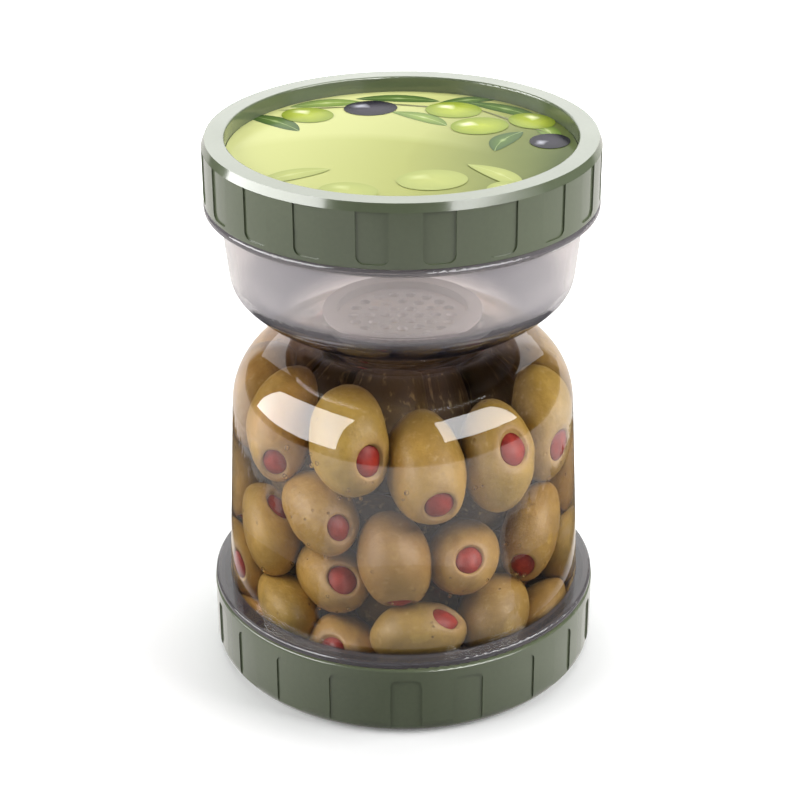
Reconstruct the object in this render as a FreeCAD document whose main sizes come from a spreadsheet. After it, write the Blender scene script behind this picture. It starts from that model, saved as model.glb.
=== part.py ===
"""Hourglass jar for olives and pickles: two clear tinted jars on one narrow neck, each closed
by a green screw lid. The lower jar stands mouth down and holds olives in brine, the upper one
is empty, and a strainer sits in the neck between them.

Millimetres, +Z up, origin at the centre of the base. Everything is turned about the Z axis.
The hardest feature is the pair of thin-walled jars: dished and domed shells of one even wall,
with a flange and mouth ring that drop into the hollow rim of each lid.
"""
import FreeCAD, Part
import math
import os
import Sketcher

from FreeCAD import Placement, Rotation, Vector

# alias: (value, what it is). Lengths in millimetres, angles in degrees.
DRIVING_SIZES = {
    # the lids
    "lid_wall": (1.8, "wall of a lid's skirt and rim"),
    "lid_plate": (1.8, "thickness of a lid's middle plate"),
    "rim_width": (6.4, "width of the raised rim round the middle plate"),
    "recess_depth": (5.3, "depth of the middle plate below the rim"),
    "rim_edge": (0.5, "rounding of the rim's inner edge and the skirt's open edge"),
    "grip_count": (20, "grip panels round a skirt"),
    "grip_angle": (9.0, "angle that one grip panel covers"),
    "grip_depth": (0.45, "depth of a grip panel"),
    "grip_corner": (2.2, "corner radius of a grip panel"),
    "base_lid_radius": (57.0, "outer radius of the lower lid"),
    "base_lid_height": (21.9, "height of the lower lid"),
    "base_lid_bevel_width": (3.2, "how far the lower lid's shoulder draws in"),
    "base_lid_bevel_height": (4.5, "height of the lower lid's shoulder"),
    "base_grip_margin": (3.4, "skirt left plain at the lower lid's open edge"),
    "base_lid_turn": (0.6, "turn of the lower lid about the axis"),
    "top_lid_radius": (55.0, "outer radius of the upper lid"),
    "top_lid_height": (17.9, "height of the upper lid"),
    "top_lid_bevel_width": (0.9, "how far the upper lid's shoulder draws in"),
    "top_lid_bevel_height": (2.3, "height of the upper lid's shoulder"),
    "top_grip_margin": (1.3, "skirt left plain at the upper lid's open edge"),
    "top_lid_turn": (10.0, "turn of the upper lid about the axis"),
    "disc_thickness": (0.8, "thickness of the printed disc"),
    "disc_clearance": (0.15, "gap between the printed disc and the rim round it"),
    # the jars
    "jar_wall": (1.8, "wall of both jars"),
    "seat_clearance": (0.2, "gap between a jar's mouth and the lid round it"),
    "thread_gap": (0.8, "room for the thread between a mouth ring and the skirt"),
    "flange_thickness": (2.1, "thickness of the flange under each lid's edge"),
    "flange_edge": (0.8, "rounding of a flange's edge"),
    "base_flange_inset": (0.25, "how far the lower jar's flange stays inside its lid's radius"),
    "top_flange_reach": (0.15, "how far the upper jar's flange stands out past its lid's radius"),
    "base_jar_low_radius": (52.44, "lower jar's wall at its flange"),
    "base_jar_high_radius": (48.62, "lower jar's wall, carried up to the flat of its shoulder"),
    "base_jar_height": (76.3, "lower jar, from its flange to the flat of its shoulder"),
    "shoulder_radius": (21.0, "rounding of the lower jar's shoulder"),
    "neck_radius": (21.9, "outer radius of the neck"),
    "neck_height": (5.0, "height of the neck"),
    "neck_round": (1.2, "rounding where the neck meets the shoulder"),
    "nub_radius": (1.3, "radius of the round nub on the front of the neck"),
    "nub_height": (0.6, "how far the nub stands out"),
    "bowl_height": (35.1, "upper jar, from the underside of its floor to its flange"),
    "bowl_flat_reach": (1.5, "how far the floor's flat middle reaches past the neck's outer radius"),
    "bowl_low_radius": (48.55, "upper jar's wall where the dished floor meets it"),
    "bowl_dish_height": (12.6, "height of the dished floor"),
    "bowl_corner": (9.0, "rounding between the dished floor and the wall"),
    "bowl_high_radius": (50.9, "upper jar's wall at its flange"),
    # the strainer
    "strainer_clearance": (0.2, "gap between the strainer's sleeve and the neck"),
    "strainer_wall": (1.2, "wall of the strainer's sleeve and plate"),
    "strainer_drop": (2.6, "depth of the strainer's plate below the bowl's floor"),
    "strainer_sleeve": (4.8, "depth of the sleeve below the bowl's floor"),
    "strainer_lip_reach": (0.9, "how far the strainer's lip reaches past the neck's outer radius"),
    "strainer_lip": (1.0, "thickness of the strainer's lip"),
    "hole_radius": (1.6, "radius of a strainer hole"),
    "hole_ring_pitch": (4.7, "distance between the rings of holes"),
    # the contents
    "brine_gap": (0.1, "gap between the brine and the jar's inner wall"),
    "brine_headroom": (3.4, "from the brine up to the top of the neck"),
    "olive_length": (29.0, "length of an olive"),
    "olive_width": (20.0, "width of an olive"),
    "olive_tip_radius": (7.2, "radius of an olive's round ends"),
    "heap_gap": (0.7, "gap between the heap's widest places and the jar's inner wall"),
    "heap_height": (70.0, "height of the heap's layers, without the olives on top"),
    "heap_layers": (5, "layers of olives"),
    "heap_bulge": (1.7, "how far each layer of olives bulges"),
}


class Size:
    """A number together with the sheet expression that gives it."""

    def __init__(self, number, text):
        self.number = float(number)
        self.text = text

    def __add__(self, other):
        other = as_size(other)
        return Size(self.number + other.number, "(%s + %s)" % (self.text, other.text))

    def __sub__(self, other):
        other = as_size(other)
        return Size(self.number - other.number, "(%s - %s)" % (self.text, other.text))

    def __mul__(self, other):
        other = as_size(other)
        return Size(self.number * other.number, "(%s * %s)" % (self.text, other.text))

    def __truediv__(self, other):
        other = as_size(other)
        return Size(self.number / other.number, "(%s / %s)" % (self.text, other.text))

    __radd__ = __add__

    def __rsub__(self, other):
        return as_size(other) - self

    def __neg__(self):
        return as_size(0) - self


def as_size(value):
    return value if isinstance(value, Size) else Size(value, "%.9g" % value)


def arc_radius(run, rise):
    """Radius of the arc that starts along its run and ends a rise to the side of it."""
    return (run * run + rise * rise) / (rise * 2)


doc = FreeCAD.newDocument("hourglass_jar")


def driving_sheet():
    sheet = doc.addObject("Spreadsheet::Sheet", "Sizes")
    for row, (alias, (value, note)) in enumerate(DRIVING_SIZES.items(), start=1):
        sheet.set("A%d" % row, note)
        sheet.set("B%d" % row, "%g" % value)
        sheet.setAlias("B%d" % row, alias)
    doc.recompute()
    return sheet


SHEET = driving_sheet()


def size(alias):
    return Size(SHEET.get(alias), "Sizes." + alias)


# ---------------------------------------------------------------- shared sizes and places

ZERO = as_size(0)
LID_WALL = size("lid_wall")
LID_PLATE = size("lid_plate")
RECESS_DEPTH = size("recess_depth")
JAR_WALL = size("jar_wall")
SEAT_CLEARANCE = size("seat_clearance")
FLANGE = size("flange_thickness")
NECK_RADIUS = size("neck_radius")
NECK_BORE = NECK_RADIUS - JAR_WALL

BASE_FLANGE_LOW = size("base_lid_height") + SEAT_CLEARANCE / 2
BASE_FLANGE_TOP = BASE_FLANGE_LOW + FLANGE
SHOULDER_TOP = BASE_FLANGE_TOP + size("base_jar_height")
NECK_TOP = SHOULDER_TOP + size("neck_height")
BOWL_FLOOR = NECK_TOP + JAR_WALL
TOP_FLANGE_LOW = NECK_TOP + size("bowl_height")
TOP_FLANGE_TOP = TOP_FLANGE_LOW + FLANGE
TOP_LID_EDGE = TOP_FLANGE_TOP + SEAT_CLEARANCE / 2
TOTAL_HEIGHT = TOP_LID_EDGE + size("top_lid_height")


# ---------------------------------------------------------------- making features

def new_body(label):
    body = doc.addObject("PartDesign::Body", label)
    body.Label = label
    return body


def origin_feature(body, role):
    return next(item for item in body.Origin.OriginFeatures if item.Role == role)


def new_sketch(body, name, plane="XZ_Plane"):
    """A sketch on one of the body's own planes. On XZ, x is the radius and y the height."""
    sketch = body.newObject("Sketcher::SketchObject", name)
    sketch.AttachmentSupport = [(origin_feature(body, plane), "")]
    sketch.MapMode = "FlatFace"
    return sketch


def bind_constraint(sketch, constraint, name, value):
    index = sketch.addConstraint(constraint)
    sketch.renameConstraint(index, name)
    sketch.setExpression("Constraints." + name, value.text)


def side_geometry(start, end, radius):
    """A line, or the short arc of that radius: it bulges to the right of the way from start
    to end if the radius is positive, else to the left. The second value is the vertex
    number of the start, the third that of the end."""
    if radius is None:
        return Part.LineSegment(start, end), 1, 2
    chord = end - start
    reach = abs(radius.number)
    sagitta_side = math.copysign(1.0, radius.number)
    to_right = Vector(chord.y, -chord.x, 0).normalize() * sagitta_side
    inset = math.sqrt(reach ** 2 - (chord.Length / 2) ** 2)
    middle = (start + end) * 0.5 + to_right * (reach - inset)
    arc = Part.Arc(start, middle, end)
    counter_clockwise = radius.number > 0
    return (arc, 1, 2) if counter_clockwise else (arc, 2, 1)


def outline(body, name, corners, arcs=None):
    """A closed outline through the corners, each placed by two sheet expressions. arcs gives
    the radius of the sides that are round, by the number of the corner they start from."""
    arcs = arcs or {}
    sketch = new_sketch(body, name)
    places = [Vector(x.number, y.number, 0) for x, y in corners]
    ends = []
    for index, start in enumerate(places):
        end = places[(index + 1) % len(places)]
        geometry, first, last = side_geometry(start, end, arcs.get(index))
        ends.append((sketch.addGeometry(geometry, False), first, last))
    for index, (side, first, _) in enumerate(ends):
        previous, _, previous_last = ends[index - 1]
        sketch.addConstraint(Sketcher.Constraint("Coincident", previous, previous_last, side, first))
        for axis, axis_line, value in (("X", -2, corners[index][0]), ("Y", -1, corners[index][1])):
            if value is ZERO:
                sketch.addConstraint(Sketcher.Constraint("PointOnObject", side, first, axis_line))
                continue
            distance = Sketcher.Constraint("Distance" + axis, -1, 1, side, first, value.number)
            bind_constraint(sketch, distance, "%s%d" % (axis.lower(), index), value)
    for index, radius in arcs.items():
        positive = radius if radius.number > 0 else -radius
        limit = Sketcher.Constraint("Radius", ends[index][0], positive.number)
        bind_constraint(sketch, limit, "radius%d" % index, positive)
    if sketch.solve() != 0:
        raise RuntimeError("the sketch %s doesn't solve" % name)
    return sketch


def turned(body, name, corners, arcs=None, kind="PartDesign::Revolution"):
    """A full turn of an outline about the Z axis, added to the body."""
    sketch = outline(body, name + "_outline", corners, arcs)
    feature = body.newObject(kind, name)
    feature.Profile = sketch
    feature.ReferenceAxis = (sketch, ["V_Axis"])
    feature.Angle = 360
    doc.recompute()
    return feature


def circles_at(shape, radius, height):
    """Names of the shape's circular edges of that radius about Z at that height."""
    found = []
    for index, edge in enumerate(shape.Edges, start=1):
        curve = edge.Curve
        if not isinstance(curve, Part.Circle):
            continue
        off_axis = math.hypot(curve.Center.x, curve.Center.y)
        off = max(off_axis, abs(curve.Radius - radius.number), abs(curve.Center.z - height.number))
        if off < 1e-4:
            found.append("Edge%d" % index)
    return found


def rounded(body, name, circles, radius):
    """Rounds the edges that are the given circles, each a radius and a height."""
    base = body.Tip
    edges = []
    for circle_radius, height in circles:
        found = circles_at(base.Shape, circle_radius, height)
        if not found:
            raise RuntimeError("%s finds no edge of radius %.3f" % (name, circle_radius.number))
        edges.extend(found)
    fillet = body.newObject("PartDesign::Fillet", name)
    fillet.Base = (base, edges)
    fillet.Radius = radius.number
    fillet.setExpression("Radius", radius.text)
    doc.recompute()
    return fillet


def patterned(body, name, feature, count):
    """Repeats a feature evenly round the Z axis."""
    pattern = body.newObject("PartDesign::PolarPattern", name)
    pattern.Originals = [feature]
    pattern.Axis = (origin_feature(body, "Z_Axis"), [""])
    pattern.Angle = 360
    pattern.Occurrences = int(round(count.number))
    pattern.setExpression("Occurrences", count.text)
    body.Tip = pattern
    doc.recompute()
    return pattern


def level_faces(shape, heights):
    """Names of the flat faces that lie level at the given heights."""
    found = []
    for index, face in enumerate(shape.Faces, start=1):
        level = isinstance(face.Surface, Part.Plane) and face.BoundBox.ZLength < 1e-6
        if level and any(abs(face.BoundBox.ZMin - height.number) < 1e-4 for height in heights):
            found.append("Face%d" % index)
    return found


def hollowed(body, name, open_heights):
    """Leaves an even wall inside the body, open at its level faces at those heights."""
    base = body.Tip
    shell = body.newObject("PartDesign::Thickness", name)
    shell.Base = (base, level_faces(base.Shape, open_heights))
    shell.Value = JAR_WALL.number
    shell.setExpression("Value", JAR_WALL.text)
    shell.Join = "Intersection"
    shell.Reversed = True
    doc.recompute()
    if not 0 < shell.Shape.Volume < base.Shape.Volume:
        raise RuntimeError(name + " took nothing away")
    return shell


# ---------------------------------------------------------------- the lids

def lid_bore(lid_radius):
    """Inside of the raised rim round a lid's middle plate."""
    return lid_radius - size("rim_width")


def lid(label, prefix, round_shoulder):
    """A screw lid, closed face down on Z = 0: a middle plate sunk inside a hollow rim, whose
    inner wall plugs the jar's mouth, and a skirt with shallow grip panels."""
    radius = size(prefix + "_lid_radius")
    height = size(prefix + "_lid_height")
    bevel_width = size(prefix + "_lid_bevel_width")
    bevel_height = size(prefix + "_lid_bevel_height")
    bore = lid_bore(radius)
    plug = bore + LID_WALL
    plate_top = RECESS_DEPTH + LID_PLATE
    body = new_body(label)
    corners = [
        (ZERO, RECESS_DEPTH),
        (bore, RECESS_DEPTH),
        (bore, ZERO),
        (radius - bevel_width, ZERO),
        (radius, bevel_height),
        (radius, height),
        (radius - LID_WALL, height),
        (radius - LID_WALL, LID_WALL),
        (plug, LID_WALL),
        (plug, plate_top),
        (ZERO, plate_top),
    ]
    shoulder_arc = {3: arc_radius(bevel_height, bevel_width)} if round_shoulder else {}
    turned(body, prefix + "_lid_cup", corners, shoulder_arc)
    rounded(body, prefix + "_lid_edges", [(bore, ZERO), (radius, height)], size("rim_edge"))
    grip_panels(body, prefix, radius, height, ZERO if round_shoulder else bevel_height)
    return body


def grip_panels(body, prefix, radius, height, start):
    """Shallow panels round the skirt, from the shoulder to a margin at its open edge, where
    their corners are rounded."""
    floor = radius - size("grip_depth")
    end = height - size(prefix + "_grip_margin")
    beyond = radius + size("grip_depth")
    corners = [(floor, start), (beyond, start), (beyond, end), (floor, end)]
    before = body.Shape.Volume
    groove = turned(body, prefix + "_grip", corners, kind="PartDesign::Groove")
    groove.Midplane = True
    groove.setExpression("Angle", size("grip_angle").text)
    doc.recompute()
    patterned(body, prefix + "_grips", groove, size("grip_count"))
    if body.Shape.Volume >= before:
        raise RuntimeError(prefix + "_grips cut nothing")
    panel_corners(body, prefix, floor, radius, end)


def panel_corners(body, prefix, floor, radius, end):
    """Rounds the short radial edges at the end of every panel."""
    base = body.Tip
    edges = []
    for index, edge in enumerate(base.Shape.Edges, start=1):
        if not isinstance(edge.Curve, Part.Line):
            continue
        near, far = sorted(math.hypot(vertex.X, vertex.Y) for vertex in edge.Vertexes)
        heights = [vertex.Z for vertex in edge.Vertexes]
        spans_wall = abs(near - floor.number) < 1e-4 and abs(far - radius.number) < 1e-4
        if spans_wall and all(abs(height - end.number) < 1e-4 for height in heights):
            edges.append("Edge%d" % index)
    fillet = body.newObject("PartDesign::Fillet", prefix + "_grip_corners")
    fillet.Base = (base, edges)
    fillet.Radius = size("grip_corner").number
    fillet.setExpression("Radius", size("grip_corner").text)
    doc.recompute()


def placed(body, height=ZERO, turn=ZERO, upside_down=False):
    """Stands a finished body at its height, turned about Z, and flipped first if need be."""
    flip = Rotation(Vector(1, 0, 0), 180 if upside_down else 0)
    spin = Rotation(Vector(0, 0, 1), turn.number)
    body.Placement = Placement(Vector(0, 0, height.number), spin.multiply(flip))
    body.setExpression("Placement.Base.z", height.text)


def lids():
    base_lid = lid("base_lid", "base", round_shoulder=True)
    placed(base_lid, turn=size("base_lid_turn"))
    top_lid = lid("top_lid", "top", round_shoulder=False)
    placed(top_lid, TOTAL_HEIGHT, size("top_lid_turn"), upside_down=True)
    return [base_lid, top_lid]


def printed_disc():
    """The thin printed disc that lies on the upper lid's middle plate, inside its rim."""
    body = new_body("printed_disc")
    radius = lid_bore(size("top_lid_radius")) - size("disc_clearance")
    sketch = new_sketch(body, "disc_circle", "XY_Plane")
    circle = sketch.addGeometry(Part.Circle(Vector(0, 0, 0), Vector(0, 0, 1), radius.number), False)
    sketch.addConstraint(Sketcher.Constraint("Coincident", circle, 3, -1, 1))
    bind_constraint(sketch, Sketcher.Constraint("Radius", circle, radius.number), "disc_radius", radius)
    pad = body.newObject("PartDesign::Pad", "disc")
    pad.Profile = sketch
    pad.setExpression("Length", size("disc_thickness").text)
    doc.recompute()
    placed(body, TOTAL_HEIGHT - RECESS_DEPTH)
    return body


# ---------------------------------------------------------------- the jars

def mouth_ring(body, name, lid_radius, lip, flange_face, flange_far, wall_radius, flange_radius):
    """A jar's flange and the mouth ring beyond it, which drops into the lid's hollow rim."""
    inner = lid_bore(lid_radius) + LID_WALL + SEAT_CLEARANCE
    outer = lid_radius - LID_WALL - size("thread_gap")
    throat = wall_radius - JAR_WALL
    corners = [
        (throat, flange_far),
        (flange_radius, flange_far),
        (flange_radius, flange_face),
        (outer, flange_face),
        (outer, lip),
        (inner, lip),
        (inner, flange_face),
        (throat, flange_face),
    ]
    turned(body, name, corners)
    edges = [(flange_radius, flange_far), (flange_radius, flange_face)]
    rounded(body, name + "_edges", edges, size("flange_edge"))


def lower_jar():
    """The olive jar, mouth down: a slightly tapering wall, a wide round shoulder and the neck
    that carries the upper jar, with a small round nub on its front."""
    body = new_body("lower_jar")
    low = size("base_jar_low_radius")
    high = size("base_jar_high_radius")
    corners = [
        (ZERO, BASE_FLANGE_TOP),
        (low, BASE_FLANGE_TOP),
        (high, SHOULDER_TOP),
        (NECK_RADIUS, SHOULDER_TOP),
        (NECK_RADIUS, NECK_TOP),
        (ZERO, NECK_TOP),
    ]
    turned(body, "lower_wall", corners)
    rounded(body, "lower_shoulder", [(high, SHOULDER_TOP)], size("shoulder_radius"))
    rounded(body, "neck_root", [(NECK_RADIUS, SHOULDER_TOP)], size("neck_round"))
    hollowed(body, "lower_hollow", [BASE_FLANGE_TOP, NECK_TOP])
    lip = LID_WALL + SEAT_CLEARANCE
    mouth_ring(body, "lower_mouth", size("base_lid_radius"), lip, BASE_FLANGE_LOW,
               BASE_FLANGE_TOP, low, size("base_lid_radius") - size("base_flange_inset"))
    neck_nub(body)
    return body


def neck_nub(body):
    """The round nub on the front of the neck, half way up."""
    sketch = new_sketch(body, "nub_circle")
    half_wall = JAR_WALL / 2
    sketch.setExpression("AttachmentOffset.Base.z", (NECK_RADIUS - half_wall).text)
    height = SHOULDER_TOP + size("neck_height") / 2
    radius = size("nub_radius")
    centre = Vector(0, height.number, 0)
    circle = sketch.addGeometry(Part.Circle(centre, Vector(0, 0, 1), radius.number), False)
    sketch.addConstraint(Sketcher.Constraint("PointOnObject", circle, 3, -2))
    level = Sketcher.Constraint("DistanceY", -1, 1, circle, 3, height.number)
    bind_constraint(sketch, level, "nub_level", height)
    bind_constraint(sketch, Sketcher.Constraint("Radius", circle, radius.number), "nub_size", radius)
    nub = body.newObject("PartDesign::Pad", "neck_nub")
    nub.Profile = sketch
    nub.setExpression("Length", (half_wall + size("nub_height")).text)
    doc.recompute()


def upper_jar():
    """The empty upper jar: a dished floor with a hole over the neck, curving up into a wall
    that flares to its mouth."""
    body = new_body("upper_jar")
    flat = NECK_RADIUS + size("bowl_flat_reach")
    low = size("bowl_low_radius")
    high = size("bowl_high_radius")
    dish = size("bowl_dish_height")
    corner_height = NECK_TOP + dish
    corners = [
        (ZERO, NECK_TOP),
        (flat, NECK_TOP),
        (low, corner_height),
        (high, TOP_FLANGE_LOW),
        (ZERO, TOP_FLANGE_LOW),
    ]
    turned(body, "bowl_wall", corners, {1: arc_radius(low - flat, dish)})
    rounded(body, "bowl_corner_round", [(low, corner_height)], size("bowl_corner"))
    hollowed(body, "bowl_hollow", [TOP_FLANGE_LOW])
    hole = [(ZERO, NECK_TOP - JAR_WALL), (NECK_BORE, NECK_TOP - JAR_WALL),
            (NECK_BORE, BOWL_FLOOR + JAR_WALL), (ZERO, BOWL_FLOOR + JAR_WALL)]
    turned(body, "bowl_hole", hole, kind="PartDesign::Groove")
    lip = TOTAL_HEIGHT - LID_WALL - SEAT_CLEARANCE
    mouth_ring(body, "bowl_mouth", size("top_lid_radius"), lip, TOP_FLANGE_TOP,
               TOP_FLANGE_LOW, high, size("top_lid_radius") + size("top_flange_reach"))
    return body


# ---------------------------------------------------------------- the strainer

def strainer():
    """A lipped sleeve through the bowl's floor into the neck, closed by a plate with rings of
    round holes."""
    body = new_body("strainer")
    outer = NECK_BORE - size("strainer_clearance")
    wall = size("strainer_wall")
    inner = outer - wall
    plate_low = BOWL_FLOOR - size("strainer_drop")
    plate_top = plate_low + wall
    sleeve_low = BOWL_FLOOR - size("strainer_sleeve")
    lip_radius = NECK_RADIUS + size("strainer_lip_reach")
    lip_top = BOWL_FLOOR + size("strainer_lip")
    corners = [
        (ZERO, plate_low),
        (inner, plate_low),
        (inner, sleeve_low),
        (outer, sleeve_low),
        (outer, BOWL_FLOOR),
        (lip_radius, BOWL_FLOOR),
        (lip_radius, lip_top),
        (inner, lip_top),
        (inner, plate_top),
        (ZERO, plate_top),
    ]
    turned(body, "strainer_cup", corners)
    ring_pitch = size("hole_ring_pitch")
    clear_radius = inner - size("hole_radius")
    ring = 0
    while ring * ring_pitch.number < clear_radius.number:
        hole_ring(body, ring, ring_pitch * ring)
        ring += 1
    return body


def hole_ring(body, ring, ring_radius):
    """One ring of round holes through the strainer's plate: six to each step outward."""
    hole = size("hole_radius")
    sketch = new_sketch(body, "hole_%d_circle" % ring, "XY_Plane")
    centre = Vector(ring_radius.number, 0, 0)
    circle = sketch.addGeometry(Part.Circle(centre, Vector(0, 0, 1), hole.number), False)
    if ring == 0:
        sketch.addConstraint(Sketcher.Constraint("Coincident", circle, 3, -1, 1))
    else:
        sketch.addConstraint(Sketcher.Constraint("PointOnObject", circle, 3, -1))
        away = Sketcher.Constraint("DistanceX", -1, 1, circle, 3, ring_radius.number)
        bind_constraint(sketch, away, "hole_place", ring_radius)
    bind_constraint(sketch, Sketcher.Constraint("Radius", circle, hole.number), "hole_size", hole)
    before = body.Shape.Volume
    pocket = body.newObject("PartDesign::Pocket", "hole_%d" % ring)
    pocket.Profile = sketch
    pocket.Type = "ThroughAll"
    pocket.Reversed = True
    doc.recompute()
    if pocket.Shape.Volume >= before:
        raise RuntimeError("strainer hole %d cut nothing" % ring)
    if ring:
        patterned(body, "hole_ring_%d" % ring, pocket, as_size(6 * ring))


# ---------------------------------------------------------------- the contents

def heap_core():
    """The olives' heap up to the shoulder: one bulge for each layer of olives against the
    wall, narrowing with the jar."""
    body = new_body("heap_core")
    floor = RECESS_DEPTH + LID_PLATE
    layers = int(round(size("heap_layers").number))
    pitch = size("heap_height") / layers
    low = size("base_jar_low_radius")
    taper = (low - size("base_jar_high_radius")) / size("base_jar_height")
    reach = JAR_WALL + size("heap_gap") + size("heap_bulge")
    corners = [(ZERO, floor)]
    for layer in range(layers + 1):
        level = floor + pitch * layer
        above = level - BASE_FLANGE_TOP
        inset = taper * above if above.number > 0 else ZERO
        corners.append((low - reach - inset, level))
    corners.append((ZERO, floor + pitch * layers))
    bulge = arc_radius(pitch / 2, size("heap_bulge"))
    turned(body, "heap_layers_turned", corners, {layer: bulge for layer in range(1, layers + 1)})
    return body


def top_olive(name, ring_radius, turn, height, lie, pitch):
    """One olive on top of the heap, fuller at the side than at its round ends: lie turns it
    in the level plane from the outward line, pitch tips its end up."""
    olive = new_body(name)
    length, width, tip = size("olive_length"), size("olive_width"), size("olive_tip_radius")
    reach = (length - tip * 2) / 2
    side = (reach * reach + width * width / 4 - tip * tip) / (width - tip * 2)
    edge = tip * (side - width / 2) / (side - tip)
    level = reach + tip * reach / (side - tip)
    corners = [(ZERO, ZERO - length / 2), (edge, ZERO - level), (edge, level), (ZERO, length / 2)]
    turned(olive, name + "_turned", corners, {0: tip, 1: side, 2: tip})
    angle = math.radians(turn)
    along = Rotation(Vector(0, 0, 1), turn + lie)
    tipped = along.multiply(Rotation(Vector(0, 1, 0), 90 - pitch))
    centre = Vector(ring_radius.number * math.cos(angle), ring_radius.number * math.sin(angle),
                    height.number)
    olive.Placement = Placement(centre, tipped)
    olive.setExpression("Placement.Base.x", (ring_radius * math.cos(angle)).text)
    olive.setExpression("Placement.Base.y", (ring_radius * math.sin(angle)).text)
    olive.setExpression("Placement.Base.z", height.text)
    return olive


def joined(heap, olive):
    """The heap with one more olive grown onto it."""
    union = doc.addObject("Part::Fuse", "heap_with_" + olive.Name)
    union.Base = heap
    union.Tool = olive
    return union


def olive_heap():
    """All the olives as one solid: the layered heap with loose olives lying on top of it."""
    core = heap_core()
    top = RECESS_DEPTH + LID_PLATE + size("heap_height")
    width = size("olive_width")
    outer_ring = size("base_jar_high_radius") - JAR_WALL - width * 0.72
    lies = [82, 64, 98, 75, 110, 58, 90, 71]
    tips = [8, -12, 20, -6, 14, -18, 10, -4]
    heap = core
    for index, (lie, tip) in enumerate(zip(lies, tips)):
        height = top + width * (0.12 + 0.05 * (index % 3))
        turn = 360 / len(lies) * index + 11
        olive = top_olive("outer_olive_%d" % index, outer_ring, turn, height, lie, tip)
        heap = joined(heap, olive)
    for index, (lie, tip) in enumerate([(70, 12), (15, -20), (105, 24)]):
        height = top + width * (0.28 + 0.06 * index)
        turn = 120 * index + 40
        olive = top_olive("inner_olive_%d" % index, width * 0.62, turn, height, lie, tip)
        heap = joined(heap, olive)
    heap.Label = "olives"
    doc.recompute()
    return heap


def liquid_room():
    """Everything inside the lower jar and its lid, up to the brine's level in the neck."""
    body = new_body("liquid_room")
    gap = size("brine_gap")
    low = size("base_jar_low_radius") - JAR_WALL - gap
    high = size("base_jar_high_radius") - JAR_WALL - gap
    floor = RECESS_DEPTH + LID_PLATE
    mouth = lid_bore(size("base_lid_radius")) + LID_WALL
    ceiling = SHOULDER_TOP - JAR_WALL - gap
    level = NECK_TOP - size("brine_headroom")
    neck = NECK_BORE - gap
    corners = [
        (ZERO, floor),
        (mouth, floor),
        (mouth, BASE_FLANGE_LOW - gap),
        (low, BASE_FLANGE_LOW - gap),
        (low, BASE_FLANGE_TOP),
        (high, ceiling),
        (neck, ceiling),
        (neck, level),
        (ZERO, level),
    ]
    turned(body, "liquid_turned", corners)
    inside = size("shoulder_radius") - JAR_WALL - gap
    rounded(body, "liquid_shoulder", [(high, ceiling)], inside)
    return body


def brine(heap):
    """The brine: the room inside the lower jar without the olives."""
    cut = doc.addObject("Part::Cut", "brine")
    cut.Label = "brine"
    cut.Base = liquid_room()
    cut.Tool = heap
    doc.recompute()
    return cut


# ---------------------------------------------------------------- checks and files

def check_document():
    for item in doc.Objects:
        if "Invalid" in item.State or "Error" in item.State:
            raise RuntimeError("%s failed: %s" % (item.Label, item.State))


def write_parts(parts):
    os.makedirs("parts", exist_ok=True)
    for part in parts:
        shape = part.Shape
        if shape.isNull() or not shape.isValid() or not shape.Solids:
            raise RuntimeError("%s has no valid solid" % part.Label)
        print("%-14s %d solid, %9.0f mm3, z %.2f to %.2f" % (
            part.Label, len(shape.Solids), shape.Volume, shape.BoundBox.ZMin, shape.BoundBox.ZMax))
        shape.exportStep(os.path.join("parts", part.Label + ".step"))


def build():
    parts = lids()
    parts.append(printed_disc())
    parts.append(lower_jar())
    parts.append(upper_jar())
    parts.append(strainer())
    heap = olive_heap()
    parts.append(heap)
    parts.append(brine(heap))
    doc.recompute()
    check_document()
    write_parts(parts)


build()
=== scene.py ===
"""Looks of the olive and pickle jar: glossy green lids, clear tinted jars, a printed disc,
and stuffed olives lying in brine. Metres, +Z up, -Y towards the camera."""
import math
from collections import namedtuple

import bpy
import numpy as np
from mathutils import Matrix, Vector


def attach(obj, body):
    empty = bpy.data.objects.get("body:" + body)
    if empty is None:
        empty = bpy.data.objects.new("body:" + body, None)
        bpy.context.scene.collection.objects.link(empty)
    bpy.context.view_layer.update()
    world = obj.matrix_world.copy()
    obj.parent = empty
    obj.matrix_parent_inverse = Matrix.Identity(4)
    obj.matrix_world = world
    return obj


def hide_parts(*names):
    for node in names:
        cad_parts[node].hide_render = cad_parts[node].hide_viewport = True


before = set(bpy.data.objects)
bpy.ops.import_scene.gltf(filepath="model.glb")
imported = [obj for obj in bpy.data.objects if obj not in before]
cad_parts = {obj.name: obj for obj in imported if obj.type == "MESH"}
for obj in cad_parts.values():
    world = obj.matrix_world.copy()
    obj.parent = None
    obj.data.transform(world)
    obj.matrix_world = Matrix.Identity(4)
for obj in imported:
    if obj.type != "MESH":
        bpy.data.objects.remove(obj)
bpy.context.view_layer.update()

MM = 0.001

# ------------------------------------------------------------------ sizes of the jar, in mm

HEIGHT = 160.6
WALL = 1.8
LID_PLATE_TOP = 7.1
MOUTH_RADIUS = 50.6
FLANGE_TOP = 24.1
JAR_TOP = 100.4
JAR_LOW_RADIUS = 52.44           # outside, at the flange's top
JAR_HIGH_RADIUS = 48.62          # the same wall carried on to the jar's top
SHOULDER_ROUND = 21.0
SHOULDER_CENTRE = (28.65, 79.4)  # distance from the axis, and height
NECK_BORE = 20.1
BRINE_LEVEL = 102.0
DISC_TOP = 156.1


# ------------------------------------------------------------------ small helpers

def mm(*lengths):
    """Millimetres as metres."""
    return [length * MM for length in lengths]


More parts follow.
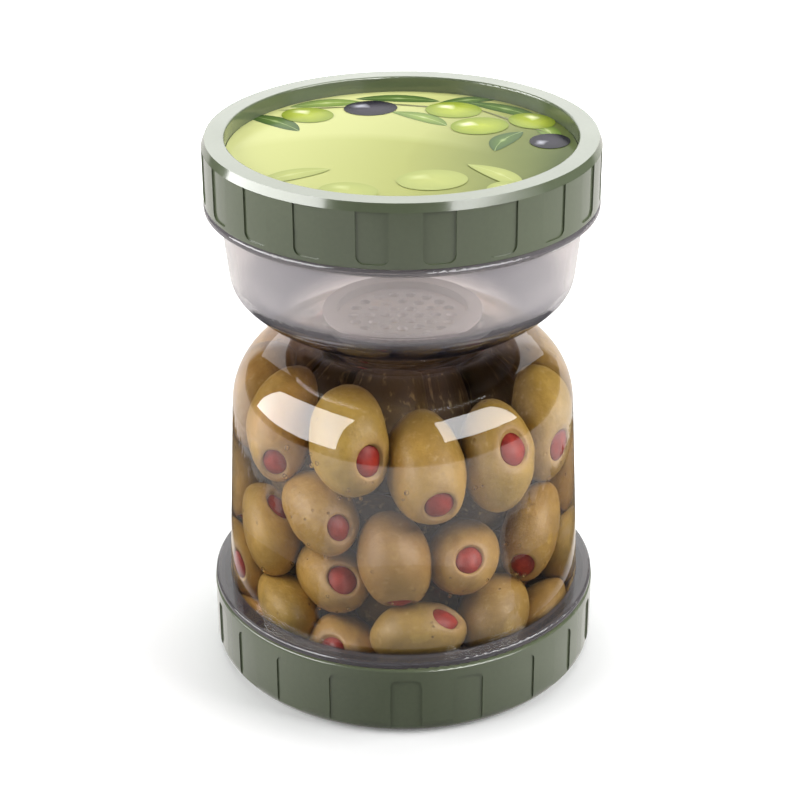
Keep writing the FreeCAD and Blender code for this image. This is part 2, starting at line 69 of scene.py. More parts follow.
class Nodes:
    """A material or world under construction. Sockets are given by name, with _ for a blank,
    or by number as i0, i1 and so on."""

    def __init__(self, owner):
        owner.use_nodes = True
        self.tree = owner.node_tree
        self.tree.nodes.clear()

    def add(self, kind, settings=None, **sockets):
        made = self.tree.nodes.new("ShaderNode" + kind)
        for name, value in (settings or {}).items():
            setattr(made, name, value)
        for name, value in sockets.items():
            self.feed(made, name.replace("_", " "), value)
        return made

    def feed(self, made, name, value):
        numbered = name[0] == "i" and name[1:].isdigit()
        socket = made.inputs[int(name[1:]) if numbered else name]
        if isinstance(value, bpy.types.NodeSocket):
            self.tree.links.new(value, socket)
        elif isinstance(value, bpy.types.Node):
            self.tree.links.new(value.outputs[0], socket)
        elif hasattr(socket.default_value, "__len__") and len(socket.default_value) == 4:
            socket.default_value = (*value, 1.0)
        else:
            socket.default_value = value

    def place(self, kind="Object"):
        return self.add("TexCoord").outputs[kind]

    def place_parts(self, kind="Object"):
        return self.add("SeparateXYZ", Vector=self.place(kind)).outputs

    def stored(self, name):
        """The numbers kept on the mesh's points under that name."""
        return self.add("Attribute", {"attribute_name": name}).outputs["Fac"]

    def noise(self, scale, detail, roughness=0.5):
        made = self.add("TexNoise", Vector=self.place(), Scale=scale, Detail=detail,
                        Roughness=roughness)
        return made.outputs["Fac"]

    def ramp(self, value, low, high, start=0.0, end=1.0):
        return self.add("MapRange", Value=value, From_Min=low, From_Max=high,
                        To_Min=start, To_Max=end).outputs[0]

    def patches(self, scale, detail, low, high, start=0.0, end=1.0, roughness=0.5):
        """Noise with its values from low to high stretched to run from start to end."""
        return self.ramp(self.noise(scale, detail, roughness), low, high, start, end)

    def blend(self, factor, first, second):
        return self.add("Mix", {"data_type": "RGBA"}, i0=factor, i6=first, i7=second).outputs[2]

    def layers(self, colour, *coats):
        """The colour under coats of other colours, each given with its share."""
        for share, coat in coats:
            colour = self.blend(share, colour, coat)
        return colour

    def maths(self, operation, first, second=0.0):
        return self.add("Math", {"operation": operation}, i0=first, i1=second).outputs[0]

    def plus(self, first, second):
        return self.maths("ADD", first, second)

    def less(self, first, second):
        return self.maths("SUBTRACT", first, second)

    def times(self, first, second):
        return self.maths("MULTIPLY", first, second)

    def most(self, first, *others):
        for other in others:
            first = self.maths("MAXIMUM", first, other)
        return first

    def bump(self, height, distance, strength):
        return self.add("Bump", Height=height, Distance=distance, Strength=strength)

    def principled(self, **sockets):
        return self.add("BsdfPrincipled", **sockets)

    def mix_shader(self, factor, first, second):
        return self.add("MixShader", i0=factor, i1=first, i2=second)

    def finish(self, surface, volume=None):
        out = self.add("OutputMaterial", Surface=surface)
        if volume is not None:
            self.feed(out, "Volume", volume)


def material(name, build):
    made = bpy.data.materials.new(name)
    build(Nodes(made))
    return made


def mesh_piece(name, points, faces, made_of, slot):
    """A smooth mesh on the jar's one body, from points in millimetres."""
    mesh = bpy.data.meshes.new(name)
    mesh.from_pydata([tuple(float(x) * MM for x in p) for p in points], [],
                     [tuple(map(int, f)) for f in faces])
    mesh.validate()
    piece = bpy.data.objects.new(name, mesh)
    bpy.context.scene.collection.objects.link(piece)
    mesh.materials.append(made_of)
    mesh.polygons.foreach_set("use_smooth", [True] * len(mesh.polygons))
    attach(piece, "root")
    return piece


def keep_on_points(piece, **values):
    """Stores a number on each point of the piece, for its material to read."""
    for name, numbers in values.items():
        kept = piece.data.attributes.new(name, "FLOAT", "POINT")
        kept.data.foreach_set("value", np.array(numbers, np.float32))


def lathe(profile, segments):
    """Points and faces of a profile of (radius, height) turned about Z. Only its first and
    last points lie on the axis."""
    points, rings = [], []
    for radius, height in profile:
        if radius == 0:
            rings.append([len(points)])
            points.append((0, 0, height))
        else:
            rings.append(list(range(len(points), len(points) + segments)))
            for k in range(segments):
                angle = 2 * math.pi * k / segments
                points.append((radius * math.cos(angle), radius * math.sin(angle), height))
    faces = []
    for low, high in zip(rings[:-1], rings[1:]):
        for k in range(segments):
            n = (k + 1) % segments
            if len(low) == 1:
                faces.append((low[0], high[n], high[k]))
            elif len(high) == 1:
                faces.append((low[k], low[n], high[0]))
            else:
                faces.append((low[k], low[n], high[n], high[k]))
    return points, faces


def ring_faces(rings, segments, closed):
    """Faces of a form of one point, then rings of points and, if closed, a last point."""
    faces = [(0, 1 + k, 1 + (k + 1) % segments) for k in range(segments)]
    last = 1 + (rings - 1) * segments
    for base in range(1, last, segments):
        for k in range(segments):
            n = (k + 1) % segments
            faces.append((base + k, base + segments + k, base + segments + n, base + n))
    if closed:
        faces += [(last + k, last + segments, last + (k + 1) % segments)
                  for k in range(segments)]
    return faces


def gathered(forms):
    """Many forms of points and faces as one."""
    points, faces = [], []
    for some, some_faces in forms:
        start = len(points)
        points += some
        faces += [tuple(i + start for i in f) for f in some_faces]
    return points, faces


# ------------------------------------------------------------------ materials

# refractive indices, each against what the stuff lies in
LID_INDEX = 1.5
PRINT_INDEX = 1.5
JAR_INDEX = 1.47
STRAINER_INDEX = 1.09  # low, to leave it a faint smudge
BRINE_INDEX = 1.33
BUBBLE_INDEX = 0.75
OLIVE_INDEX = 1.36
PEPPER_INDEX = 1.38


def lid_plastic(n):
    """Glossy dull green, faintly clouded and grained."""
    cloud = n.patches(22, 3, 0.35, 0.65)
    grain = n.patches(900, 2, 0.3, 0.7, 0.0, 0.12)
    n.finish(n.principled(
        Base_Color=n.layers((0.110, 0.132, 0.080), (cloud, (0.126, 0.151, 0.090)),
                            (grain, (0.16, 0.19, 0.11))),
        Roughness=n.patches(60, 4, 0.3, 0.7, 0.13, 0.22), IOR=LID_INDEX,
        Coat_Weight=0.3, Coat_Roughness=0.1, Coat_IOR=LID_INDEX,
        Normal=n.bump(n.noise(110, 3), 0.06 * MM, 0.35)))


def lets_light_by(n, glass, shade):
    """Glass as it is for what looks through it, and a plain tint for lamps and soft light."""
    path = n.add("LightPath")
    for ray in ("Is Shadow Ray", "Is Diffuse Ray"):
        clear = n.add("BsdfTransparent", Color=shade)
        glass = n.mix_shader(path.outputs[ray], glass, clear)
    return glass


def clear_plastic(n, tint, shade, index=JAR_INDEX, clear=1.0):
    """Plastic with a faint wave. The tint is for what looks through it, the shade for light
    that falls through it, and what isn't clear is milky."""
    cloud = n.patches(14, 2, 0.3, 0.7, 0.0, 0.05)
    glass = n.principled(
        Base_Color=n.blend(cloud, tint, (0.70, 0.66, 0.68)),
        Roughness=n.patches(260, 3, 0.45, 0.75, 0.0, 0.02), IOR=index,
        Transmission_Weight=clear, Normal=n.bump(n.noise(35, 1), 0.08 * MM, 0.15))
    n.finish(lets_light_by(n, glass, shade))


def from_axis(n):
    """Distance from the jar's axis and height, in metres."""
    x, y, height = n.place_parts()
    squares = n.plus(n.maths("POWER", x, 2.0), n.maths("POWER", y, 2.0))
    return n.maths("SQRT", squares), height


def lower_plastic(n):
    """Smoky and milky at the thick flange, with painted shadow round the neck where the bowl and
    lid shade the jar's inside, clear between.
    """
    _, height = from_axis(n)
    flange = n.ramp(height, *mm(26.2, 23.5))
    # painted shadow: darker round the neck, where the bowl and lid keep light from the jar's
    # inside
    round_neck = n.ramp(height, *mm(96.2, 97.4))
    tint = n.layers((0.93, 0.905, 0.915), (flange, (0.105, 0.095, 0.105)),
                    (round_neck, (0.54, 0.48, 0.54)))
    clear_plastic(n, tint, (0.93, 0.91, 0.91), clear=n.ramp(height, *mm(23.7, 24.3), 0.45))


def upper_plastic(n):
    """A little smokier than the lower jar, with a painted dark reflection in the dish round the
    neck, and milkier the higher it is."""
    away, height = from_axis(n)
    # painted reflection: the dish darkened and blued, as if it reflected dark surroundings
    dish = n.times(n.ramp(away, *mm(24, 34)), n.ramp(height, *mm(122.5, 115)))
    flange = n.ramp(height, *mm(140, 141.2))
    tint = n.layers((0.94, 0.89, 0.88), (dish, (0.14, 0.145, 0.20)), (flange, (0.50, 0.47, 0.50)))
    clear_plastic(n, tint, (0.90, 0.88, 0.88), clear=n.ramp(height, *mm(112, 124), 0.94, 0.80))


def strainer_plastic(n):
    clear_plastic(n, (0.95, 0.92, 0.90), (0.93, 0.91, 0.9), STRAINER_INDEX, 0.66)


def brine(n):
    """Clear water that turns brown with depth."""
    cloud = n.patches(12, 2, 0.3, 0.7)
    water = n.principled(Base_Color=n.blend(cloud, (1, 1, 1), (0.985, 0.98, 0.97)),
                         Roughness=0.0, IOR=BRINE_INDEX, Transmission_Weight=1.0)
    depth = n.add("VolumeAbsorption", Color=(0.70, 0.58, 0.42), Density=10.0)
    n.finish(lets_light_by(n, water, (0.97, 0.965, 0.95)), depth)


def bubble(n):
    """Air in the brine."""
    cloud = n.patches(900, 2, 0.3, 0.7)
    glass = n.principled(Base_Color=n.blend(cloud, (1, 1, 1), (0.96, 0.96, 0.95)),
                         Roughness=0.0, IOR=BUBBLE_INDEX, Transmission_Weight=1.0)
    n.finish(lets_light_by(n, glass, (0.97, 0.97, 0.97)))


def deep_shade(n):
    """How much light is lost on the way in through the brine: more towards the axis and the
    bottom. Under the shoulder, height counts as nearness to the wall."""
    away, height = from_axis(n)
    over = n.most(n.less(height, SHOULDER_CENTRE[1] * MM), 0.0)
    inward = n.ramp(n.plus(away, n.times(over, 0.55)), *mm(42.5, 27), 0.0, 0.85)
    return n.most(inward, n.ramp(height, *mm(16, 7), 0.0, 0.6))


def olive_skin(n):
    """Yellow-green to brown flesh, mottled and pitted. On the points are kept tone, each
    olive's own colour; dim, how much darker and browner it is, partly its own tone and partly
    painted shade; and lip, how near the hole's rim."""
    tone = n.stored("tone")
    pale = n.blend(tone, (0.70, 0.480, 0.105), (0.77, 0.460, 0.12))
    deep = n.blend(tone, (0.47, 0.315, 0.055), (0.54, 0.29, 0.06))
    mottle = n.patches(85, 5, 0.36, 0.66, roughness=0.65)
    blotches = n.patches(38, 3, 0.52, 0.72, 0.0, 0.6)
    cells = n.add("TexVoronoi", Vector=n.place(), Scale=240.0)
    pits = n.times(n.ramp(cells.outputs["Distance"], 0.13, 0.05), n.patches(60, 2, 0.5, 0.56))
    specks = n.patches(1500, 2, 0.60, 0.70, 0.0, 0.35, roughness=0.7)
    flecks = n.patches(520, 4, 0.56, 0.70, 0.0, 0.40, roughness=0.7)
    colour = n.layers(
        pale, (mottle, deep), (blotches, (0.42, 0.295, 0.055)),
        (n.times(pits, 0.7), (0.20, 0.10, 0.03)), (specks, (0.28, 0.17, 0.04)),
        # dim: partly each olive's own browner tone, partly painted shade on some placed olives
        (n.stored("dim"), (0.26, 0.165, 0.055)),
        (n.times(n.stored("lip"), 0.55), (0.66, 0.43, 0.20)),
        (deep_shade(n), (0.035, 0.026, 0.018)), (flecks, (0.80, 0.60, 0.24)))
    height = n.plus(n.noise(420, 3), n.times(n.noise(120, 4, 0.6), 3.0))
    height = n.less(height, n.times(pits, 1.5))
    n.finish(n.principled(Base_Color=colour, Roughness=n.ramp(mottle, 0, 1, 0.34, 0.5),
                          IOR=OLIVE_INDEX, Normal=n.bump(height, 0.28 * MM, 0.7)))


def pimento(n):
    """Red pepper, with painted shade where it meets the flesh: on the points is kept edge, how
    much.
    """
    grain = n.noise(300, 5, 0.7)
    colour = n.layers(
        (0.36, 0.016, 0.012), (n.ramp(grain, 0.35, 0.65), (0.60, 0.055, 0.030)),
        # painted shade where the pepper sits down in the flesh
        (n.times(n.stored("edge"), 0.65), (0.12, 0.012, 0.01)),
        (deep_shade(n), (0.03, 0.008, 0.006)))
    n.finish(n.principled(Base_Color=colour, Roughness=n.ramp(grain, 0.3, 0.7, 0.3, 0.45),
                          IOR=PEPPER_INDEX, Normal=n.bump(n.noise(600, 3), 0.1 * MM, 0.6)))


def print_field(n):
    """Yellow-green, palest at the left, olive green at the right, with a broad soft curve between,
    over which the inks lie. A painted highlight pales the far part, fading out to the right."""
    x, y, _ = n.place_parts()

    def bowed(along, across, middle, bend):
        return n.plus(along, n.times(n.maths("POWER", n.plus(across, middle), 2.0), bend))

    side = bowed(x, y, 0.02, -6.0)
    # painted highlight: paler over the far part of the field
    curve = n.ramp(bowed(y, x, 0.015, 9.0), 0.006, 0.012, 0.0, 0.22)
    colour = n.layers(
        (0.52, 0.54, 0.215), (n.ramp(side, -0.045, 0.002), (0.33, 0.35, 0.105)),
        (n.ramp(side, 0.0, 0.042), (0.085, 0.115, 0.035)),
        (n.times(curve, n.ramp(side, 0.025, 0.0)), (0.70, 0.72, 0.36)),
        (n.patches(30, 3, 0.35, 0.7, 0.0, 0.12), (0.45, 0.48, 0.16)))
    n.finish(n.principled(Base_Color=colour, Roughness=n.patches(70, 3, 0.3, 0.7, 0.10, 0.18),
                          IOR=PRINT_INDEX, Specular_IOR_Level=0.02))


def ink(centre, edge, spot):
    """Printed colour that runs from the middle of a shape to its edge, with a pale spot. On
    the points are kept depth, how far out, and shine, how far in the spot."""
    def build(n):
        outward = n.maths("POWER", n.stored("depth"), 1.6)
        colour = n.layers(centre, (outward, edge), (n.patches(260, 3, 0.35, 0.65, 0.0, 0.3), edge),
                          (n.stored("shine"), spot))
        n.finish(n.principled(Base_Color=colour, Roughness=n.patches(90, 2, 0.3, 0.7, 0.12, 0.2),
                              IOR=PRINT_INDEX, Specular_IOR_Level=0.03))
    return build


LID = material("lid_plastic", lid_plastic)
LOWER = material("clear_plastic_lower", lower_plastic)
UPPER = material("clear_plastic_upper", upper_plastic)
STRAINER = material("strainer_plastic", strainer_plastic)
BRINE = material("brine", brine)
OLIVE = material("olive_skin", olive_skin)
PIMENTO = material("pimento", pimento)
BUBBLE = material("bubble", bubble)
FIELD = material("print_field", print_field)

for node, made_of in (("base_lid", LID), ("top_lid", LID), ("lower_jar", LOWER),
                      ("upper_jar", UPPER), ("strainer", STRAINER), ("printed_disc", FIELD)):
    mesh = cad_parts[node].data
    if not mesh.materials:
        mesh.materials.append(made_of)
    for k in range(len(mesh.materials)):
        mesh.materials[k] = made_of


# ------------------------------------------------------------------ the print

# colours of each ink in the middle of a shape, at its edge and in its bright spot
INKS = {
    "leaf": ((0.10, 0.17, 0.035), (0.055, 0.10, 0.03), (0.42, 0.52, 0.22)),
    "light_leaf": ((0.25, 0.34, 0.07), (0.12, 0.19, 0.04), (0.55, 0.62, 0.30)),
    "green_fruit": ((0.40, 0.46, 0.05), (0.20, 0.26, 0.03), (0.85, 0.88, 0.55)),
    "dark_fruit": ((0.035, 0.03, 0.045), (0.012, 0.012, 0.016), (0.50, 0.50, 0.56)),
    "stalk": ((0.20, 0.20, 0.09), (0.12, 0.13, 0.05), (0.40, 0.42, 0.25)),
    "faint": ((0.40, 0.43, 0.13), (0.33, 0.37, 0.11), (0.50, 0.54, 0.22)),
}
# kind, ink, middle x and y, half length, half width, turn; later ones lie over earlier ones.
# Millimetres and degrees.
MOTIFS = [
    ("leaf", "leaf", -36, 22, 11.0, 3.6, -40), ("leaf", "light_leaf", -22, 38, 11.0, 3.4, 10),
    ("leaf", "leaf", -1, 42, 12.5, 3.2, -6), ("leaf", "light_leaf", 6, 25, 10.0, 3.2, -38),
    ("leaf", "leaf", 30, 32, 13.0, 3.2, -36), ("leaf", "light_leaf", 41, 13, 9.5, 3.0, -70),
    ("leaf", "leaf", 28, 5, 9.0, 3.4, 62), ("leaf", "leaf", 19, 40, 10.0, 2.8, 16),
    ("stalk", "stalk", 4, 35, 17, 0.55, -14), ("stalk", "stalk", 31, 22, 15, 0.5, -48),
    ("stalk", "stalk", -25, 33, 11, 0.5, 8),
    ("fruit", "dark_fruit", -9, 33, 7.8, 6.6, 10),
    ("fruit", "green_fruit", -27, 27, 7.6, 6.6, -15),
    ("fruit", "green_fruit", 15, 31, 8.2, 7.0, -12),
    ("fruit", "dark_fruit", 41, 4, 6.2, 5.6, 70),
    ("fruit", "green_fruit", 22, 17, 8.4, 7.2, 20),
    ("fruit", "green_fruit", 37, 21, 7.2, 6.2, -50),
    ("fruit", "faint", 8, -26, 9.5, 7.6, 10), ("fruit", "faint", -14, -34, 8.0, 6.4, -15),
    ("leaf", "faint", -30, -22, 11.5, 3.6, 32), ("leaf", "faint", 26, -22, 11.0, 3.6, -52),
    ("fruit", "faint", 29, -33, 7.0, 6.0, 0), ("leaf", "faint", -2, -42, 10.0, 2.8, 12),
]
MOTIF_SEGMENTS = 36
MOTIF_RINGS = (0.25, 0.5, 0.72, 0.88, 1.0)  # in parts of its size
INK_CLEAR = 0.03                            # height of the first shape over the disc
INK_STEP = 0.008                            # and of each next one over the last


def motif(kind, across, up, long_, wide, turn, level):
    """A flat shape built in rings from its middle: its points and faces, and how far out and
    how bright each point is."""
    cos, sin = math.cos(math.radians(turn)), math.sin(math.radians(turn))
    points, depth, shine = [], [], []
    for share in (0.0, *MOTIF_RINGS):
        for k in range(MOTIF_SEGMENTS if share else 1):
            a = 2 * math.pi * k / MOTIF_SEGMENTS
            u, v = long_ * math.cos(a), wide * math.sin(a)
            if kind != "fruit":  # pointed ends
                v = wide * math.sin(a) * abs(math.sin(a)) ** 0.6 * (1.0 + 0.12 * math.cos(a))
            u, v = u * share, v * share
            bent = 0 if kind == "fruit" else -0.9 * (u / long_) ** 2 * wide * 0.6
            points.append((across + u * cos - (v + bent) * sin,
                           up + u * sin + (v + bent) * cos, level))
            depth.append(share)
            if kind == "fruit":
                spot = math.hypot((u / long_ + 0.30) / 0.34, (v / wide - 0.35) / 0.26)
                shine.append(max(0.0, 1 - spot) ** 0.7)
            else:  # a leaf's midrib
                shine.append(0.75 if kind == "leaf" and abs(v) < wide * 0.02 else 0.0)
    return (points, ring_faces(len(MOTIF_RINGS), MOTIF_SEGMENTS, False)), depth, shine


for name, shades in INKS.items():
    forms, depths, shines = [], [], []
    for index, (kind, ink_name, *place) in enumerate(MOTIFS):
        if ink_name == name:
            form, depth, shine = motif(kind, *place, DISC_TOP + INK_CLEAR + INK_STEP * index)
            forms.append(form)
            depths += depth
            shines += shine
    inked = material("ink_" + name, ink(*shades))
    keep_on_points(mesh_piece("print_" + name, *gathered(forms), inked, "print"),
                   depth=depths, shine=shines)


# ------------------------------------------------------------------ the brine

BRINE_INTO_WALL = 0.45 * WALL  # how far inside the jar's outer face the brine ends
ROUND_STEPS = 32
BRINE_SEGMENTS = 160


def brine_profile():
    """Up inside the jar's wall and round the shoulder to the level in the neck."""
    centre_r, centre_z = SHOULDER_CENTRE
    round_ = SHOULDER_ROUND - BRINE_INTO_WALL
    slope = math.atan2(JAR_LOW_RADIUS - JAR_HIGH_RADIUS, JAR_TOP - FLANGE_TOP)
    in_mouth, in_neck = MOUTH_RADIUS - 0.2, NECK_BORE + 0.4
    profile = [(0, LID_PLATE_TOP), (in_mouth, LID_PLATE_TOP), (in_mouth, FLANGE_TOP - 1.5),
               (JAR_LOW_RADIUS - BRINE_INTO_WALL, FLANGE_TOP - 1.0)]
    for k in range(ROUND_STEPS + 1):
        angle = slope + (math.pi / 2 - slope) * k / ROUND_STEPS
        profile.append((centre_r + round_ * math.cos(angle), centre_z + round_ * math.sin(angle)))
    return profile + [(in_neck, JAR_TOP - BRINE_INTO_WALL), (in_neck, BRINE_LEVEL),
                      (0, BRINE_LEVEL)]


liquid = mesh_piece("brine_fill", *lathe(brine_profile(), BRINE_SEGMENTS), BRINE, "brine")
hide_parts("brine")


# ------------------------------------------------------------------ where the olives lie

# turn round the jar, distance from its axis, height; heading and rise of the long axis;
# half length, half width; heading and rise of the stuffed end; how much darker and browner
# than the rest, partly its own tone and partly painted shade. Degrees and millimetres.
PLACED = [
    (-110, 36.2, 82.1, -76, -53, 14.3, 10.6, -57, 0, 0),
    (-123, 37.9, 62.2, -67, -36, 13.0, 9.8, -64, -2, 0),
    (-153, 36.6, 78.5, -107, -52, 14.0, 10.2, -104, -26, 0),
    (-157, 38.3, 49.7, -112, -51, 13.5, 10.0, -42, 65, 0),
    (-140, 38.3, 29.9, -99, -15, 13.5, 9.3, 40, 0, 0),
    (-122, 33.1, 41.3, -80, -8, 13.5, 9.6, -81, 15, 0.10),
    (-95, 38.6, 50.3, -71, -65, 14.8, 9.6, -74, -65, 0.50),
    (-113, 38.1, 24.4, -104, -29, 13.0, 9.8, -122, 14, 0),
    (-83, 40.1, 27.2, -175, -7, 13.0, 10.0, -22, 35, 0.30),
    (-66, 36.1, 48.9, -82, -16, 13.5, 9.6, -75, 15, 0.15),
    (-78, 35.3, 75.4, -70, -47, 15.0, 10.2, -70, -26, 0),
    (-50, 36.6, 74.3, -69, -59, 14.0, 10.3, -44, 39, 0),
    (-20, 37.6, 75.3, -97, -53, 13.8, 10.0, -49, -9, 0),
    (-32, 39.0, 48.2, -95, -60, 14.2, 9.8, -102, -37, 0.25),
    (-51, 38.3, 28.1, -69, -44, 13.5, 10.2, 129, 0, 0.40),
    (-23, 38.8, 24.3, -66, -24, 13.3, 9.8, 157, 0, 0.50),
]
FREE_OLIVES = 42
FREE_LONG, FREE_WIDE = (12.8, 14.8), (9.3, 10.3)  # their half lengths and half widths
LEVELS, LEVEL_SPREAD = (19, 35, 51, 65, 76), (-5, 5)  # heights at which they start
WALL_AWAY, CORE_AWAY = 37, (2, 20)                # distances from the axis at which they start
WALL_SHARE = 0.78                                 # how many start by the wall
CORE_TOP = 74                                     # none starts in the middle above this
CROWDED, CROWDED_KEPT = 15, 0.02                  # a start this near another is seldom kept
PLACED_EASE, FREE_EASE = 0.06, 1.0                # how readily they move when pushed
PUSHES = 260
END_BALL = 0.88                                   # an end ball's radius in half widths
PRESSED = 0.985                                   # all balls' size, to let olives press together
APART_PUSH, WALL_PUSH = 0.22, 0.6
WALL_CLEAR = 0.5
PLACED_TOP, FREE_TOP = 94.0, 86.0                 # no olive is left above these
SINK = 0.05                                       # settling in each push
MOST_STEP = 1.5                                   # farthest move in one push

Olive = namedtuple("Olive", "centre axis long wide end ease")
rng = np.random.default_rng(20)


def heading(turn, rise):
    turn, rise = np.radians(turn), np.radians(rise)
    return np.array([np.cos(turn) * np.cos(rise), np.sin(turn) * np.cos(rise), np.sin(rise)])


def room_left(point, reach):
    """How far a ball of that radius is from the jar's inner wall, and the way to the wall."""
    r = max(np.hypot(point[0], point[1]), 1e-6)
    out = np.array([point[0] / r, point[1] / r, 0])
    centre_r, centre_z = SHOULDER_CENTRE
    if point[2] > centre_z and r > centre_r:
        across = np.array([r - centre_r, point[2] - centre_z])
        length = max(np.hypot(*across), 1e-6)
        way = out * across[0] / length + np.array([0, 0, across[1] / length])
        return SHOULDER_ROUND - WALL - length - reach, way
    slope = (JAR_LOW_RADIUS - JAR_HIGH_RADIUS) / (JAR_TOP - FLANGE_TOP)
    return JAR_LOW_RADIUS - WALL - slope * max(point[2] - FLANGE_TOP, 0) - r - reach, out


def starting_olives():
    """The olives against the front wall as placed, and free ones behind and around them."""
    olives = []
    for turn, away, height, head, rise, long_, wide, end, end_rise, _ in PLACED:
        centre = heading(turn, 0) * away + np.array([0, 0, height])
        olives.append(Olive(centre, heading(head, rise), long_, wide, heading(end, end_rise),
                            PLACED_EASE))
    while len(olives) < len(PLACED) + FREE_OLIVES:
        level = LEVELS[int(rng.integers(len(LEVELS)))] + rng.uniform(*LEVEL_SPREAD)
        away = WALL_AWAY if rng.random() < WALL_SHARE else rng.uniform(*CORE_AWAY)
        turn = rng.uniform(-30, 210)
        if away < WALL_AWAY:
            turn = rng.uniform(0, 360)
            if level > CORE_TOP:
                continue
        centre = heading(turn, 0) * away + np.array([0, 0, level])
        near = min(np.linalg.norm(centre - olive.centre) for olive in olives)
        if near < CROWDED and rng.random() > CROWDED_KEPT:
            continue
        axis = heading(turn + 90 + rng.normal(0, 45), rng.normal(0, 35))
        end = axis * rng.choice([-1, 1])
        long_, wide = rng.uniform(*FREE_LONG), rng.uniform(*FREE_WIDE)
        olives.append(Olive(centre, axis, long_, wide, end, FREE_EASE))
    return olives


def settled(olives):
    """The olives pushed apart and off the walls, each taken as a row of three balls."""
    count = len(olives)
    centres = np.array([olive.centre for olive in olives])
    axes = np.array([olive.axis for olive in olives])
    wide = np.array([olive.wide for olive in olives])
    reach = np.array([olive.long for olive in olives]) - wide * 0.9
    ease = np.array([olive.ease for olive in olives])
    size = np.stack([wide * END_BALL, wide, wide * END_BALL], 1) * PRESSED
    along = np.array([-1, 0, 1])[None, :, None]
    for _ in range(PUSHES):
        balls = centres[:, None] + axes[:, None] * (reach[:, None, None] * along)
        apart = balls[:, None, :, None] - balls[None, :, None, :]
        length = np.linalg.norm(apart, axis=-1) + 1e-6
        over = size[:, None, :, None] + size[None, :, None, :] - length
        over[np.arange(count), np.arange(count)] = 0
        over = np.clip(over, 0, None)
        push = (apart / length[..., None] * over[..., None]).sum(axis=(1, 2, 3)) * APART_PUSH
        for i in range(count):
            for ball, radius in zip(balls[i], size[i]):
                room, way = room_left(ball, radius + WALL_CLEAR)
                if room < 0:
                    push[i] += way * room * WALL_PUSH
                low = ball[2] - radius - LID_PLATE_TOP
                if low < 0:
                    push[i, 2] -= low * WALL_PUSH
                high = ball[2] + radius - (PLACED_TOP if ease[i] < FREE_EASE else FREE_TOP)
                if high > 0:
                    push[i, 2] -= high * WALL_PUSH
        push[:, 2] -= SINK
        centres += np.clip(push, -MOST_STEP, MOST_STEP) * ease[:, None]
    return [olive._replace(centre=centre) for olive, centre in zip(olives, centres)]


# ------------------------------------------------------------------ the olives' forms

HOLE_RADIUS = (4.4, 5.1)
HOLE_FLOOR, HOLE_EDGE, LIP_DROP = 2.4, 0.75, 0.45    # depths under the skin
FLOOR_END, EDGE_END, LIP_END = 0.97, 1.01, 1.7       # in parts of the hole's angle
HOLE_RINGS = (0.5, 0.95, 1.0, 1.06, 1.2, 1.45, 1.8)  # likewise
TAIL_DIMPLE, TAIL_REACH = 0.35, 0.13                 # depth, and angle in radians
TAIL_RINGS = (math.pi - 0.10, math.pi - 0.04)
PEPPER_SEGMENTS = 24
PEPPER_RINGS = (0.25, 0.5, 0.75, 0.9, 0.985)         # in parts of the hole's angle
PEPPER_UNDER_RING = 0.9
PEPPER_EDGE, PEPPER_UNDER = 1.55, 2.2                # depths under the skin


def oval(way, axis, long_, wide):
    """Distance from an oval's centre to its skin."""
    along = float(np.dot(way, axis))
    return 1 / math.sqrt((along / long_) ** 2 + (1 - along * along) / wide ** 2)


def ways_about(pole):
    """A function for the way at an angle from the pole and a turn round it."""
    side = np.cross(pole, [0.3, 0.2, 0.93])
    side /= np.linalg.norm(side)
    other = np.cross(pole, side)

    def way(angle, turn):
        flat = side * math.cos(turn) + other * math.sin(turn)
        return pole * math.cos(angle) + flat * math.sin(angle)
    return way


def turns(segments):
    return [2 * math.pi * k / segments for k in range(segments)]


